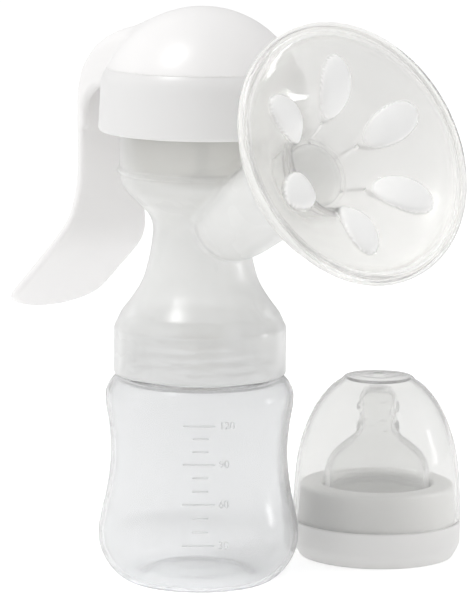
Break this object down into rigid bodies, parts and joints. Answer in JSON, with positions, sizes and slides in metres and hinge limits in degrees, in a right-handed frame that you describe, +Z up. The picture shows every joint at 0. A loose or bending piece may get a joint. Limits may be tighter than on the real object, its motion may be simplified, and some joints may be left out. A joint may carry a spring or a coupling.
{
  "type": "manual breast pump",
  "caption": "Hand-operated breast pump on its milk bottle: squeeze lever, diaphragm, funnel with a soft petal shield, and a capped teat standing beside it.",
  "frame": {"origin": "middle of the bottle's base ring, on the table", "axes": "+Z up, +X towards the breast shield, the squeeze lever at -X, +Y towards the teat set"},
  "size_m": [0.1784, 0.1369, 0.1803],
  "materials": {
    "bottle_clear": "clear moulded polypropylene, glossy",
    "body_frosted": "milky translucent polypropylene, satin",
    "silicone_clear": "clear soft silicone, glossy",
    "silicone_milky": "milky soft silicone",
    "stem_plastic": "natural plastic",
    "white_gloss": "opaque white, smooth satin gloss",
    "pin_plastic": "smooth acetal",
    "ring_white": "white, slightly translucent, smooth",
    "cap_clear": "clear to milky moulded polypropylene, glossy"
  },
  "bodies": {
    "bottle": {"bottle": "bottle_clear"},
    "valve": {"duckbill_valve": "silicone_milky"},
    "pump_head": {"pump_body": "body_frosted", "cap_ring": "white_gloss", "diaphragm": "silicone_milky", "hinge_pin": "pin_plastic"},
    "shield": {"massage_shield": "silicone_clear"},
    "stem": {"diaphragm_stem": "stem_plastic"},
    "handle": {"handle": "white_gloss"},
    "teat_set": {"teat_ring": "ring_white", "teat": "silicone_clear"},
    "teat_cap": {"teat_cap": "cap_clear"}
  },
  "joints": [
    {"name": "head_rise", "type": "slide", "parent": "bottle", "child": "valve", "axis": [0, 0, 1], "range_m": [0, 0.0081]},
    {"name": "head_unscrew", "type": "hinge", "parent": "valve", "child": "pump_head", "pos_m": [0, 0, 0.07], "axis": [0, 0, 1], "range_deg": [0, 360]},
    {"name": "shield_pull", "type": "slide", "parent": "pump_head", "child": "shield", "axis": [0.9092, 0, 0.4163], "range_m": [0, 0.045]},
    {"name": "handle_squeeze", "type": "hinge", "parent": "pump_head", "child": "handle", "pos_m": [-0.023, 0, 0.158], "axis": [0, -1, 0], "range_deg": [0, 22], "stiffness_Nm_per_rad": 0.5, "springref_deg": -5.73},
    {"name": "stem_lift", "type": "slide", "parent": "pump_head", "child": "stem", "axis": [0, 0, 1], "range_m": [0, 0.009], "deforming": ["diaphragm"]},
    {"name": "teat_set_lift", "type": "slide", "parent": "bottle", "child": "teat_set", "axis": [0, 0, 1], "range_m": [0, 0.05]},
    {"name": "teat_cap_lift", "type": "slide", "parent": "teat_set", "child": "teat_cap", "axis": [0, 0, 1], "range_m": [0, 0.06]}
  ],
  "couplings": [
    {"joint": "head_rise", "follows": "head_unscrew", "m_per_rad": 0.0012732},
    {"joint": "stem_lift", "follows": "handle_squeeze", "m_per_rad": 0.023}
  ]
}
